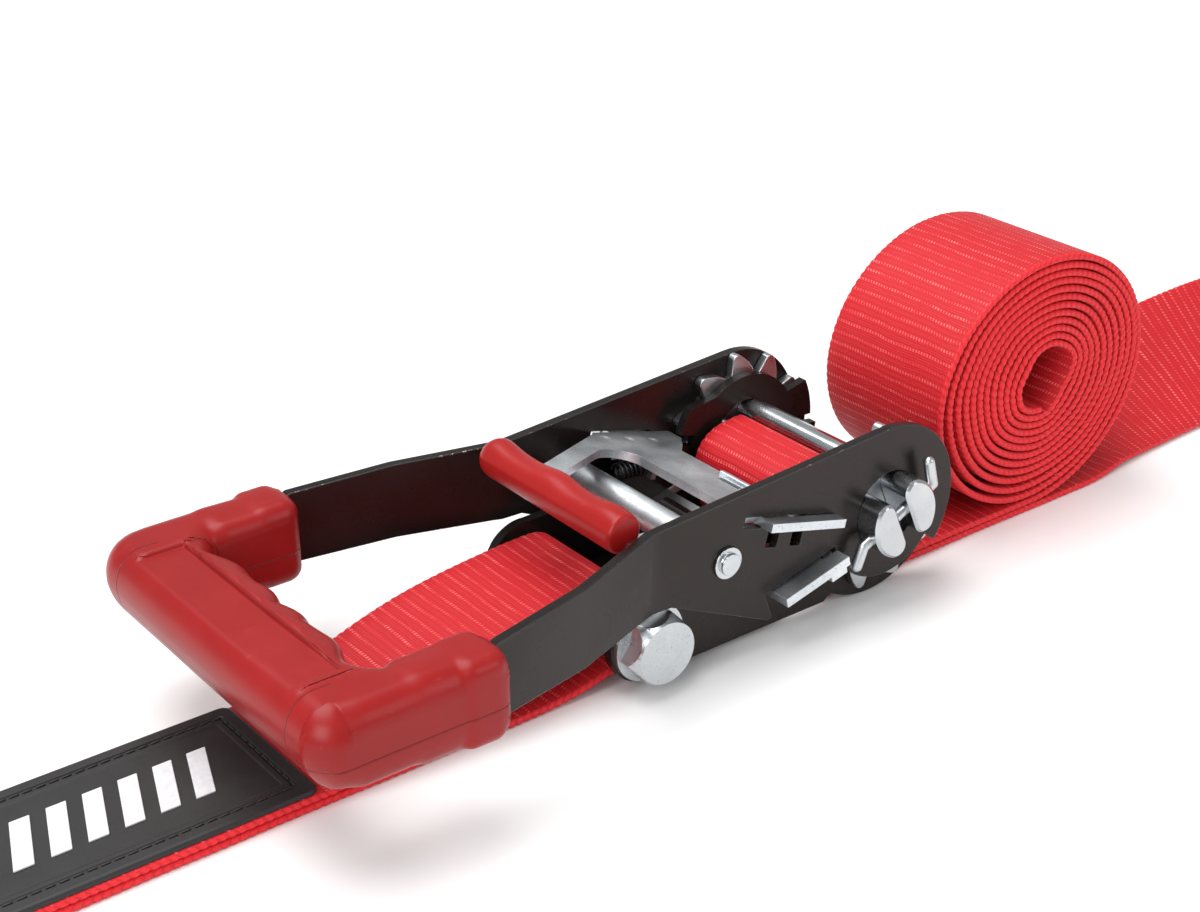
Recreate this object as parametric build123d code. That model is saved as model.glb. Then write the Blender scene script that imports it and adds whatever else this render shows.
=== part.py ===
from build123d import *
import math
import os

os.makedirs("parts", exist_ok=True)

# Ratchet tie down for 50 mm webbing. Millimetres, +Z up, the spindle axis is the Y axis.
# -X runs towards the grip and the anchor strap, +X towards the load strap and its coil.

# ---- driving dimensions ----
ground_z = -30.0
strap_width = 50.0
strap_t = 2.2
layer_gap = 0.05

# stack of plates along Y, from the middle outwards
frame_inner_y = 26.8
plate_t = 3.0
frame_outer_y = frame_inner_y + plate_t
wheel_y = 29.9
wheel_t = 3.0
handle_y = 33.0
handle_outer_y = handle_y + plate_t
run_gap = 0.05
fit_gap = 0.02

shaft_r = 12.1
shaft_slot = 4.6
shaft_end_y = 43.9
shaft_corner = 3.6
shaft_chamfer = 0.8
slot_angle = 114.0

teeth = 11
tip_r = 26.2
root_r = 19.2
tip_phase = 154.9
pin_y = 40.0
pin_r = 1.7
pin_path = [(11.4, 13.6), (13.5, 6.0), (-13.4, -5.97), (-15.6, -11.6)]

bolt_x = -84.5
bolt_z = -15.5
bolt_r = 6.0
bolt_af = 19.0
head_h = 7.5
sleeve_r = 7.6
end_r = 12.4
weld_nut_r = 9.5
weld_nut_t = 3.6
washer_r = 11.6
washer_t = 1.6

cam_low_r = 20.2
closed_lobe_r = 26.6
open_lobe_r = 27.8
open_notch_r = 25.4
stop_r = 30.6
foot_r = 29.5

web_z = -25.2
web_t = 2.5
wall_x = -52.6
wall_t = 2.4
wall_top = -7.0
wall_width = 46.0
tongue_y = -3.0
tongue_width = 13.0
curl_z = 1.5
curl_r = 2.5

pawl_angle = 165.0
pawl_t = 2.6
pawl_tip = 27.0
pawl_travel_in = 6.0
ear_y = 32.7
wing_y0 = 36.3
wing_y1 = 40.6
lance_u = 37.6
lance_y0 = -17.0
lance_y1 = -4.0
dimple_r = 4.0
dimple_depth = 0.6
dimples = ((55.3, 29.0), (47.4, 27.2), (39.2, 25.8))
arm_y0 = -32.7
arm_y1 = -28.4

bar_x = -94.0
bar_z = 20.5
bar_r = 5.6
bar_y0 = -31.8
bar_y1 = 25.5
swell_y = (-24.8, 0.0, 24.8)
swell_r = 0.5

wire_r = 0.4
pawl_spring_y = 20.0
pawl_spring_u = 51.6
pawl_spring_t = -3.2
pawl_spring_angle = 176.0
pawl_spring_length = 10.2
pawl_spring_r = 2.4
pawl_spring_turns = 6

lock_angle = 193.8
lock_t0 = 1.3
lock_t = 3.0
lock_tip = 26.4
lock_back = 45.4
lock_travel_in = 3.1
lock_spring_y = 16.5
lock_spring_r = 2.6
lock_spring_turns = 4

handle_disc_r = 26.3
handle_cut_r = 21.2
recess_r = 48.2
tube_x = -61.8
tube_z = 3.7
tube_r = 4.6
rivet_r = 3.2
rivet_collar_r = 4.7
rivet_collar_t = 1.0
rivet_end_y = 38.2

grip_front_x = -203.5
grip_back_x = -149.0
grip_bar = 24.0
grip_half = 58.0
grip_inner = 42.5
grip_top_z = 19.0
grip_bottom_z = -6.5
grip_round = 7.4
grip_corner = 12.0
grip_inner_corner = 9.0
bump_r = 12.0
bump_rise = 3.0
bump_step = 15.0
panel_size = (9.0, 76.0, 1.6)
core_x = -190.0
core_z = 6.0
core_r = 5.0
core_end_r = 4.0
core_shoulder_y = 48.9
core_end_y = 52.6

coil_x = 77.0
coil_z = 15.0
coil_turns = 12
coil_wide = 1.13
coil_core_r = 9.5
tail_turn_x = 20.0

anchor_end_x = -336.0
load_end_x = 338.0
flat_end_x = 104.0
label_x = -243.5
label_length = 118.0
label_width = 48.0
label_t = 1.6
hook_r = 4.0
hook_bar_y = 31.0
prong_y = 5.2
jaw = 13.0


def polar(r, deg):
    return (r * math.cos(math.radians(deg)), r * math.sin(math.radians(deg)))


def side_view(sketch, y0, y1):
    """Extrudes an XZ sketch from y0 to y1."""
    return extrude(Plane((0, y0, 0), x_dir=(1, 0, 0), z_dir=(0, -1, 0)) * sketch, -(y1 - y0))


def wedge(a0, a1, r=60.0):
    """A triangle-like slice round the origin between two angles under 180 degrees apart."""
    mid = (a0 + a1) / 2
    return make_face(Polyline((0, 0), polar(r, a0), polar(r, mid), polar(r, a1), close=True))


def local_box(angle, u0, u1, t0, t1):
    """A rectangle in the XZ sketch, u along the given angle and t to its counterclockwise side."""
    rect = Pos((u0 + u1) / 2, (t0 + t1) / 2) * Rectangle(u1 - u0, t1 - t0)
    return Rot(0, 0, angle) * rect


def local_block(angle, u0, u1, y0, y1, t0, t1):
    return side_view(local_box(angle, u0, u1, t0, t1), y0, y1)


def rod(p, q, r):
    """A round bar between two points."""
    a = Vector(*p)
    d = Vector(*q) - a
    return extrude(Plane(a, z_dir=d) * Circle(r), d.length)


def save(solid, name):
    solid.label = name
    export_step(solid, f"parts/{name}.step")


# ---- spindle ----
def half_moon(side, r, flat):
    """One half-round profile with soft corners, its flat parallel to the strap slot."""
    strip = Pos(side * (flat + 20), 0) * Rectangle(40, 60)
    face = Circle(r) & strip
    return Rot(0, 0, slot_angle - 90) * fillet(face.vertices(), shaft_corner)


half_shafts = {}
for name, side in (("half_shaft_rear", 1), ("half_shaft_front", -1)):
    shaft = side_view(half_moon(side, shaft_r, shaft_slot / 2), -shaft_end_y, shaft_end_y)
    ends = shaft.faces().sort_by(Axis.Y)
    rim = ends[0].edges() + ends[-1].edges()
    half_shafts[name] = chamfer(rim, shaft_chamfer)


def tooth_edges(tip):
    """One ratchet tooth: a steep face on its counterclockwise side, a round tip and a humped back."""
    foot = polar(root_r, tip + 10.0)
    face_top = polar(tip_r - 1.2, tip + 6.6)
    crown = polar(tip_r, tip + 3.3)
    back_top = polar(tip_r - 0.5, tip - 0.5)
    hump = polar(22.9, tip - 9.0)
    heel = polar(root_r, tip - 19.0)
    last_foot = polar(root_r, tip + 10.0 - 360.0 / teeth)
    return [
        Line(foot, face_top),
        ThreePointArc(face_top, crown, back_top),
        ThreePointArc(back_top, hump, heel),
        Line(heel, last_foot),
    ]


wheel_edges = []
for k in range(teeth):
    wheel_edges += [line.edge() for line in tooth_edges(tip_phase - k * 360.0 / teeth)]
wheel_profile = make_face(wheel_edges)
for side in (1, -1):
    wheel_profile -= half_moon(side, shaft_r + fit_gap, shaft_slot / 2 - fit_gap)
save(side_view(wheel_profile, -wheel_y - wheel_t, -wheel_y), "ratchet_wheel_near")
save(side_view(wheel_profile, wheel_y, wheel_y + wheel_t), "ratchet_wheel_far")

def pin_at(y, r):
    """A bent pin crossing both half shafts at the given Y."""
    pieces = []
    for (x0, z0), (x1, z1) in zip(pin_path, pin_path[1:]):
        pieces.append(rod((x0, y, z0), (x1, y, z1), r))
    for x, z in pin_path:
        pieces.append(Pos(x, y, z) * Sphere(r))
    body = pieces[0]
    for piece in pieces[1:]:
        body += piece
    return body


pins = [pin_at(y, pin_r) for y in (-pin_y, pin_y)]
bores = [pin_at(y, pin_r + fit_gap) for y in (-pin_y, pin_y)]
for name in half_shafts:
    shaft = half_shafts[name]
    for bore in bores:
        shaft -= bore
    save(shaft, name)
save(Compound(children=[p.solid() for p in pins]), "split_pins")

thread_piece = local_box(slot_angle, -12.3, 12.3, -strap_t / 2, strap_t / 2)
save(side_view(thread_piece, -strap_width / 2, strap_width / 2), "webbing_threaded")

# ---- base frame ----
# its rim is the cam the release plate rides on: a low part on top, a lobe at either side of it
cam = Circle(cam_low_r)
closed_ramp = Polyline(
    (0, 0), polar(cam_low_r, 126), polar(closed_lobe_r + 0.6, 147), polar(40, 150), polar(40, 178), close=True,
)
cam += Circle(closed_lobe_r) & make_face(closed_ramp)
open_ramp = Polyline(
    (0, 0), polar(cam_low_r - 0.5, 31), polar(open_lobe_r + 1, 25), polar(40, 10), polar(40, -4), close=True,
)
cam += Circle(open_lobe_r) & make_face(open_ramp)
cam += Circle(stop_r) & wedge(-14, -7.5)
cam += Circle(foot_r) & wedge(-60, -12)
cam += Circle(foot_r) & wedge(-130, -55)
body_side = Polyline(
    polar(24.5, 172), (-38, 3.2), (-50, 1.2), (-55.5, -2.6), (-84.5, -3.2), (-96.8, -15.5), (-84.5, -27.8),
    (-70, -27.2), (-18, -27.2), polar(20, -110), (0, 0), close=True,
)
plate = cam + make_face(body_side) + Pos(bolt_x, bolt_z) * Circle(end_r)
notch = make_face(Polyline((0, 0), polar(60, -6.6), polar(60, -0.6), close=True)) - Circle(open_notch_r)
plate -= notch
plate -= local_box(pawl_angle, pawl_tip - pawl_travel_in - 0.3, 40, -0.5, pawl_t + 0.5)
plate -= local_box(lock_angle, lock_tip - lock_travel_in - 0.5, 48.6, lock_t0 - 0.1, lock_t0 + lock_t + 0.1)
plate -= Circle(shaft_r + run_gap)
plate -= Pos(bolt_x, bolt_z) * Circle(bolt_r + 0.1)
frame = side_view(plate, -frame_outer_y, -frame_inner_y)
frame += side_view(plate, frame_inner_y, frame_outer_y)

# the floor between the side plates, with a window at each side
web = Pos(-53, 0, web_z) * Box(32, 2 * frame_inner_y + 0.2, web_t)
for y in (-13.5, 13.5):
    web -= Pos(-44.5, y, web_z) * Box(11, 15, 6)

# the wall behind the lock pawl's springs, with a curled tongue on top
stop_wall = Pos(wall_x, 0, (web_z + wall_top) / 2) * Box(wall_t, wall_width, wall_top - web_z)
tongue_h = curl_z - wall_top
tongue = Pos(wall_x, tongue_y, (wall_top + curl_z) / 2) * Box(wall_t, tongue_width, tongue_h + 0.4)
roll = Cylinder(curl_r, tongue_width) - Cylinder(0.7, tongue_width + 1)
curl = Pos(wall_x + 1.3, tongue_y, curl_z) * Rot(90, 0, 0) * roll
curl -= Pos(wall_x + 3.8, tongue_y, -1.5) * Box(5, tongue_width + 1, 6)
frame += web + stop_wall + tongue + curl
save(frame.solid(), "base_frame")

# ---- bolt across the frame's back end, with its washer, weld nut and sleeve ----
head_start = frame_outer_y + washer_t + 0.05
bolt_plane = Plane((bolt_x, -head_start, bolt_z), x_dir=(1, 0, 0), z_dir=(0, -1, 0))
hexagon = Rot(0, 0, 9.6) * RegularPolygon(bolt_af / 2, 6, major_radius=False)
head = extrude(bolt_plane * hexagon, head_h)
head_face = Plane((bolt_x, -head_start - head_h, bolt_z), z_dir=(0, 1, 0))
head &= head_face * Pos(0, 0, 6.0) * Cone(15.0, 9.2, 12.0, rotation=(180, 0, 0))
bolt_end_y = frame_outer_y + weld_nut_t + 1.0
bolt = head + rod((bolt_x, -head_start, bolt_z), (bolt_x, bolt_end_y, bolt_z), bolt_r)
bolt = chamfer(bolt.edges().filter_by(GeomType.CIRCLE).sort_by(Axis.Y)[-1], 0.9)
save(bolt, "frame_bolt")

washer_face = Pos(bolt_x, bolt_z) * (Circle(washer_r) - Circle(bolt_r + 0.2))
washer_y = -frame_outer_y - fit_gap
save(side_view(washer_face, washer_y - washer_t, washer_y), "frame_washer")
nut_face = Pos(bolt_x, bolt_z) * (Circle(weld_nut_r) - Circle(bolt_r + fit_gap))
nut = side_view(nut_face, frame_outer_y + fit_gap, frame_outer_y + weld_nut_t)
nut = fillet(nut.faces().sort_by(Axis.Y)[-1].edges().sort_by(SortBy.LENGTH)[-1], 0.8)
save(nut, "frame_nut")
sleeve_face = Pos(bolt_x, bolt_z) * (Circle(sleeve_r) - Circle(bolt_r + 0.15))
save(side_view(sleeve_face, -frame_inner_y + 0.1, frame_inner_y - 0.1), "bolt_sleeve")

# ---- lock pawl: slides through both side plates towards the wheels ----
# Y from, Y to and front edge of each step of one half, from the middle outwards
lock_steps = [
    (26.3, 29.9, 27.0),
    (29.9, 32.9, lock_tip),
    (32.9, 36.3, lock_tip),
    (36.3, 41.5, 21.0),
]
lock_t1 = lock_t0 + lock_t
lock = local_block(lock_angle, 32.0, lock_back, 0, lock_steps[0][0], lock_t0, lock_t1)
for y0, y1, front in lock_steps:
    lock += local_block(lock_angle, front, lock_back, y0, y1, lock_t0, lock_t1)
wing_y, wing_end_y, wing_front = lock_steps[-1]
lock += local_block(
    lock_angle, wing_front + 1.5, wing_front + 7.5, wing_y, wing_end_y, lock_t1 - 0.1, lock_t1 + 1.8,
)
lock += mirror(lock, about=Plane.XZ)
save(lock.solid(), "lock_pawl")


def coil_spring(center_u, center_y, center_t, angle, length, radius, turns):
    """A compression spring with its axis along u at the given angle in the XZ plane."""
    rise = length - 2 * wire_r
    helix = Helix(pitch=rise / turns, height=rise, radius=radius)
    section = Plane(origin=helix @ 0, z_dir=helix % 0) * Circle(wire_r)
    spring = sweep(section, path=helix, is_frenet=True)
    along_x, along_z = polar(1.0, angle)
    start = center_u - length / 2 + wire_r
    x = start * along_x - center_t * along_z
    z = start * along_z + center_t * along_x
    place = Plane((x, center_y, z), x_dir=(0, 1, 0), z_dir=(along_x, 0, along_z))
    return place.location * spring


# two springs between the lock pawl's back edge and the wall
lock_mid_t = lock_t0 + lock_t / 2
lean = math.radians(lock_angle - 180)
wall_u = (-wall_x - wall_t / 2) / math.cos(lean) - lock_mid_t * math.tan(lean)
lock_spring_u = (lock_back + wall_u) / 2
lock_spring_length = wall_u - lock_back - 1.2
lock_springs = []
for y in (-lock_spring_y, lock_spring_y):
    lock_springs.append(coil_spring(
        lock_spring_u, y, lock_mid_t, lock_angle, lock_spring_length, lock_spring_r, lock_spring_turns,
    ))
save(Compound(children=[s.solid() for s in lock_springs]), "lock_pawl_springs")

# ---- handle: two bent plates, a spacer tube with its rivet, the core bar and the grip ----
tangent = 166.2 - math.degrees(math.acos(handle_disc_r / math.hypot(85.0, 20.8)))
arm = Polyline(
    polar(handle_disc_r, tangent), (-85, 20.8), (-148, 17.6), (-158, 13.5), (-193, 13.5), (-196, 10.5),
    (-196, 1.5), (-193, -1.0), (-158, -1.0), (-148, -4.2), (-90, -3.6), (-81, -3.9), (-45.7, -20.6),
    polar(44, 206), (0, 0), close=True,
)
arm_face = make_face(arm)
upper_disc = Circle(handle_disc_r) & (wedge(-39, 60) + wedge(55, 130))
recess = (Circle(recess_r) & wedge(194.6, 250)) - Circle(handle_cut_r)
side_profile = arm_face - recess
side_profile += upper_disc + Circle(handle_cut_r)
side_profile -= Circle(shaft_r + run_gap)
side_profile -= local_box(pawl_angle, 33.4, 57.2, -0.3, pawl_t + 0.3)
side_profile -= local_box(pawl_angle, 42.6, 47.0, pawl_t, 9.0)
side_profile -= local_box(pawl_angle, 33.4, 37.4, pawl_t, 9.0)
side_profile -= Pos(tube_x, tube_z) * Circle(rivet_r + 0.05)
side_profile -= Pos(core_x, core_z) * Circle(core_end_r + 0.05)


def plan_strip(extra):
    """The bent plate seen from above, as a band of even thickness, grown by extra on each side."""
    bends = [(32, handle_y), (-88, handle_y), (-118, 43.0), (-152, 49.0), (-200 - extra, 49.0)]
    inner = [(x, y - extra) for x, y in bends]
    outer = [(x + 0.4, y + plate_t + extra) for x, y in bends[1:4]]
    outer = [(32, handle_outer_y + extra)] + outer + [(-200 - extra, 52.0 + extra)]
    return make_face(Polyline(*inner, *reversed(outer), close=True))


def handle_plate(extra=0.0):
    strip = extrude(Pos(0, 0, -70) * plan_strip(extra), 140)
    return side_view(side_profile, 20, 70) & strip


far_plate = handle_plate().solid()
save(far_plate, "handle_plate_far")
near_plate = mirror(far_plate, about=Plane.XZ)
save(near_plate, "handle_plate_near")

tube_face = Pos(tube_x, tube_z) * (Circle(tube_r) - Circle(rivet_r + 0.1))
save(side_view(tube_face, -handle_y + fit_gap, handle_y - fit_gap), "cross_tube")

rivet = rod((tube_x, -rivet_end_y, tube_z), (tube_x, rivet_end_y, tube_z), rivet_r)
collar_y = handle_outer_y + fit_gap
for s in (-1, 1):
    collar_end = (tube_x, s * (collar_y + rivet_collar_t), tube_z)
    rivet += rod((tube_x, s * collar_y, tube_z), collar_end, rivet_collar_r)
save(rivet.solid(), "cross_rivet")

core = rod((core_x, -core_shoulder_y, core_z), (core_x, core_shoulder_y, core_z), core_r)
core += rod((core_x, -core_end_y, core_z), (core_x, core_end_y, core_z), core_end_r)
save(core.solid(), "grip_core")

grip_len = grip_back_x - grip_front_x
grip_mid_x = (grip_front_x + grip_back_x) / 2
grip_mid_z = (grip_top_z + grip_bottom_z) / 2
grip_h = grip_top_z - grip_bottom_z
grip = Pos(grip_mid_x, 0, grip_mid_z) * Box(grip_len, 2 * grip_half, grip_h)
upright = grip.edges().filter_by(Axis.Z).sort_by(Axis.X)[:2]
grip = fillet(upright, grip_corner)
window_front = grip_front_x + grip_bar
window_end = grip_back_x + 20
window_mid_x = (window_front + window_end) / 2
window = Pos(window_mid_x, 0, grip_mid_z) * Box(window_end - window_front, 2 * grip_inner, grip_h + 2)
window = fillet(window.edges().filter_by(Axis.Z).sort_by(Axis.X)[:2], grip_inner_corner)
grip -= window
rims = grip.faces().sort_by(Axis.Z)[-1].edges() + grip.faces().sort_by(Axis.Z)[0].edges()
grip = fillet(rims, grip_round)
for i in range(4):
    y = (i - 1.5) * bump_step
    bump = Pos(window_front - bump_r + bump_rise, y, grip_mid_z) * Cylinder(bump_r, 11)
    grip += bump & (Pos(window_front, y, grip_mid_z) * Box(7, 12, grip_h))
grip -= Pos(grip_front_x + grip_bar / 2, 0, grip_top_z) * Box(*panel_size)
pocket = handle_plate(0.05)
grip -= pocket
grip -= mirror(pocket, about=Plane.XZ)
shoulder_y = core_shoulder_y + 0.6
end_y = core_end_y + 0.2
grip -= rod((core_x, -shoulder_y, core_z), (core_x, shoulder_y, core_z), core_r + 0.05)
grip -= rod((core_x, -end_y, core_z), (core_x, end_y, core_z), core_end_r + 0.05)
save(grip.solid(), "handle_grip")

# ---- handle pawl: a ring plate whose plane passes through the spindle axis ----
pawl_dir_x, pawl_dir_z = polar(1.0, pawl_angle)
pawl_plane = Plane((0, 0, 0), x_dir=(pawl_dir_x, 0, pawl_dir_z), z_dir=(-pawl_dir_z, 0, pawl_dir_x))
outline = make_face(Polyline(
    (pawl_tip, 32.8), (57.0, 32.8), (58.5, 31.3), (93.6, 9.4), (93.6, 25.5), (98.6, 25.5), (98.6, -2.0),
    (60.0, -25.6), (57.0, -32.8), (pawl_tip, -32.8), (pawl_tip, -26.5), (31.3, -20.8), (35.8, -16.0),
    (35.8, 16.0), (31.3, 20.8), (pawl_tip, 26.5), close=True,
))
finger_window = make_face(Polyline((54.8, -33.0), (54.8, 25.5), (99.0, -1.5), (99.0, -33.0), close=True))
finger_window = fillet(finger_window.vertices().filter_by(lambda v: v.Y > 20), 8.0)

# a strip lanced up beside its slot, over the front band
lance_mid = (lance_y0 + lance_y1) / 2
lance_length = lance_y1 - lance_y0
slot = Pos(lance_u + 2.6, lance_mid) * Rectangle(2.2, lance_length - 4)
pawl = extrude(pawl_plane * (outline - finger_window - slot), pawl_t)
lance = extrude(pawl_plane * (Pos(lance_u, lance_mid) * Rectangle(1.8, lance_length)), -1.4)
pawl += fillet(lance.edges().filter_by(Axis.Y).sort_by(Axis.Z)[-2:], 0.6)

# the near arm runs straight back, lower than the far one
near_arm = make_face(Polyline((-52.5, 14.0), (-93.0, 18.0), (-93.0, 15.5), (-52.5, 11.5), close=True))
pawl += side_view(near_arm, arm_y0, arm_y1)
for u, y in dimples:
    for s in (-1, 1):
        pawl -= pawl_plane * (Pos(u, s * y, dimple_depth - dimple_r) * Sphere(dimple_r))

# an ear and a wing pass through each handle plate
for y0, y1, u0, u1 in ((ear_y, wing_y0 + 0.1, 40.2, 50.5), (wing_y0, wing_y1, 22.0, 51.0)):
    for near, far in ((y0, y1), (-y1, -y0)):
        pawl += local_block(pawl_angle, u0, u1, near, far, 0, pawl_t)

# tabs the springs push against
for y in (-pawl_spring_y, pawl_spring_y):
    pawl += local_block(pawl_angle, 43.4, 45.2, y - 3.6, y + 3.6, pawl_t - 0.1, 9.0)
save(pawl.solid(), "handle_pawl")

# the finger bar is cast round the plate's back edge, with a swelling at each end and in the middle
bar_length = bar_y1 - bar_y0
finger_bar = Pos(0, (bar_y0 + bar_y1) / 2, 0) * Cylinder(bar_r, bar_length, rotation=(90, 0, 0))
finger_bar += Pos(0, bar_y1, 0) * Sphere(bar_r)
for y in swell_y:
    finger_bar += Pos(0.3, y, 0.5) * Sphere(bar_r + swell_r)
finger_bar = Pos(bar_x, 0, bar_z) * finger_bar
finger_bar -= pawl
save(finger_bar.solid(), "finger_grip")

# two springs behind the plate's front band, seated on the cross tube
pawl_springs = []
for y in (-pawl_spring_y, pawl_spring_y):
    pawl_springs.append(coil_spring(
        pawl_spring_u, y, pawl_spring_t, pawl_spring_angle, pawl_spring_length, pawl_spring_r, pawl_spring_turns,
    ))
save(Compound(children=[s.solid() for s in pawl_springs]), "handle_pawl_springs")


# ---- webbing ----
def strap_along(path):
    """A strap of even thickness following an XZ path, its width along Y."""
    start = Plane(path @ 0, x_dir=(0, 1, 0), z_dir=path % 0)
    return sweep(start * Rectangle(strap_width, strap_t), path)


def vec(x, z):
    return (x, 0, z)


low_z = ground_z + strap_t / 2
next_z = low_z + strap_t + layer_gap
half = strap_t / 2

loop = Spline(
    vec(-5.55, 12.25), vec(-12.6, 8.2), vec(-17.8, 4.6), vec(-20.9, -1.5),
    vec(-20.6, -9.0), vec(-16.0, -22.2), vec(-4.0, low_z), tangents=((-0.91, 0, -0.41), (1, 0, 0)),
)
flat_run = Line(vec(-4.0, low_z), vec(flat_end_x, low_z))
load_strap = strap_along(Wire([loop, flat_run]))

# beyond the coil the strap's far edge lifts off the ground: X, tilt in degrees and Y of the near edge
lift = [
    (flat_end_x, 0, -25.0), (126, 9, -22.3), (152, 26, -20.0), (190, 41, -18.9),
    (226, 41, -19.5), (264, 22, -22.0), (300, 0, -25.0),
]
sections = []
for x, tilt, near_y in lift:
    level, rise = polar(1.0, tilt)
    mid_y = near_y + strap_width / 2 * level
    mid_z = ground_z + strap_width / 2 * rise + half * level
    plane = Plane((x, mid_y, mid_z), x_dir=(0, level, rise), z_dir=(1, 0, 0))
    sections.append(plane * Rectangle(strap_width, strap_t))
load_strap += loft(sections)

# its end is folded round the hook's cross bar
eye_z = ground_z + hook_r + 0.15 + strap_t
eye_c = hook_r + 0.15 + half
eye_path = Polyline(vec(300, low_z), vec(load_end_x, low_z))
eye_arc = ThreePointArc(
    vec(load_end_x, low_z), vec(load_end_x + eye_c, eye_z), vec(load_end_x, eye_z + eye_c),
)
eye_back = Spline(
    vec(load_end_x, eye_z + eye_c), vec(load_end_x - 9, next_z + 1.6), vec(load_end_x - 18, next_z),
    vec(304, next_z),
    tangents=((-1, 0, 0), (-1, 0, 0)),
)
load_strap += strap_along(Wire([eye_path.edges()[0], eye_arc, eye_back]))
save(load_strap.solid(), "load_strap")

# the spare length leaves the slot, lies on the load strap and rolls up into the coil
outer_r = coil_z - next_z
step = (outer_r - coil_core_r) / coil_turns


def coil_point(turn_angle, shift):
    """A point on the coil, shifted across the strap's thickness."""
    a = math.radians(-90 + turn_angle)
    r = outer_r - step * turn_angle / 360
    drop = step / (2 * math.pi)
    dx = coil_wide * (-drop * math.cos(a) - r * math.sin(a))
    dz = -drop * math.sin(a) + r * math.cos(a)
    size = math.hypot(dx, dz)
    x = coil_x + coil_wide * r * math.cos(a) - shift * dz / size
    z = coil_z + r * math.sin(a) + shift * dx / size
    return (x, z)


under_edges = []
upper_edges = []
for turn in range(coil_turns):
    marks = [360 * turn + 22.5 * i for i in range(17)]
    under_edges.append(Spline(*[coil_point(m, -half) for m in marks]).edge())
    upper_edges.append(Spline(*[coil_point(m, half) for m in marks]).edge())
start_edge = Line(under_edges[0] @ 0, upper_edges[0] @ 0).edge()
stop_edge = Line(under_edges[-1] @ 1, upper_edges[-1] @ 1).edge()
coil_face = make_face(under_edges + [stop_edge] + upper_edges + [start_edge])
tail = Spline(
    vec(5.6, -13.4), vec(8.2, -19.5), vec(tail_turn_x, next_z),
    tangents=((0.3, 0, -1), (1, 0, 0)),
)
tail_run = Line(vec(tail_turn_x, next_z), vec(coil_x, next_z))
save(strap_along(Wire([tail, tail_run])).solid(), "spare_tail")
save(side_view(coil_face, -strap_width / 2, strap_width / 2), "spare_coil")

# the anchor strap: up over the sleeve, round it and back along the ground to the hook
wrap_r = sleeve_r + 0.1 + half
top_z = bolt_z + wrap_r
upper = Spline(
    vec(-182, next_z), vec(-166, -22.6), vec(-149, -16.6), vec(-128, -10.8), vec(-104, -7.6), vec(bolt_x, top_z),
    tangents=((1, 0, 0), (1, 0, 0)),
)
upper_run = Line(vec(anchor_end_x + 18.4, next_z), vec(-182, next_z))
around = ThreePointArc(vec(bolt_x, top_z), vec(bolt_x + wrap_r, bolt_z), vec(bolt_x, bolt_z - wrap_r))
lower = Spline(
    vec(bolt_x, bolt_z - wrap_r), vec(-102, low_z + 1.5), vec(-124, low_z),
    tangents=((-1, 0, 0), (-1, 0, 0)),
)
lower_run = Line(vec(-124, low_z), vec(anchor_end_x, low_z))
end_arc = ThreePointArc(
    vec(anchor_end_x, low_z), vec(anchor_end_x - eye_c, eye_z), vec(anchor_end_x, eye_z + eye_c),
)
end_back = Spline(
    vec(anchor_end_x, eye_z + eye_c), vec(anchor_end_x + 9, next_z + 1.6), vec(anchor_end_x + 18, next_z),
    tangents=((1, 0, 0), (1, 0, 0)),
)
anchor = strap_along(Wire([upper_run, upper, around, lower, lower_run, end_arc, end_back]))
save(anchor.solid(), "anchor_strap")

label_z = next_z + half + fit_gap
label = Pos(label_x, 0, label_z + label_t / 2) * Box(label_length, label_width, label_t)
label = fillet(label.edges().filter_by(Axis.Z), 3)
save(label, "label_patch")


# ---- wire hooks at both ends ----
def wire_hook():
    """A double hook bent from one wire, its cross bar along Y at the origin, pointing +X."""
    hook = rod((0, -hook_bar_y, 0), (0, hook_bar_y, 0), hook_r)
    for s in (-1, 1):
        y = s * prong_y
        corners = [(0, s * hook_bar_y, 0), (7, s * 35, 0), (46, y, 0), (60, y, 0)]
        for p, q in zip(corners, corners[1:]):
            hook += rod(p, q, hook_r)
            hook += Pos(*p) * Sphere(hook_r)
        hook += Pos(60, y, 0) * Sphere(hook_r)
        bend = ThreePointArc((60, y, 0), (60 + jaw, y, jaw), (60, y, 2 * jaw))
        hook += sweep(Plane(bend @ 0, z_dir=bend % 0) * Circle(hook_r), bend)
        hook += rod((60, y, 2 * jaw), (52, y, 2 * jaw + 1.5), hook_r)
        hook += Pos(52, y, 2 * jaw + 1.5) * Sphere(hook_r)
    return hook


load_hook = Pos(load_end_x, 0, eye_z) * wire_hook()
save(load_hook.solid(), "load_hook")
anchor_hook = Pos(anchor_end_x, 0, eye_z) * Rot(0, 0, 180) * wire_hook()
save(anchor_hook.solid(), "anchor_hook")
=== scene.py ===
"""Looks of the ratchet tie down: webbing, moulded grip, enamel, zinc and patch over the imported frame.

Lengths are in millimetres until a mesh is made, then in metres. The spindle is the Y axis, +Z is up,
-X runs to the grip and +X to the coil.
"""
import math

import bmesh
import bpy
import numpy as np
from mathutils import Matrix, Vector, noise


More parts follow.
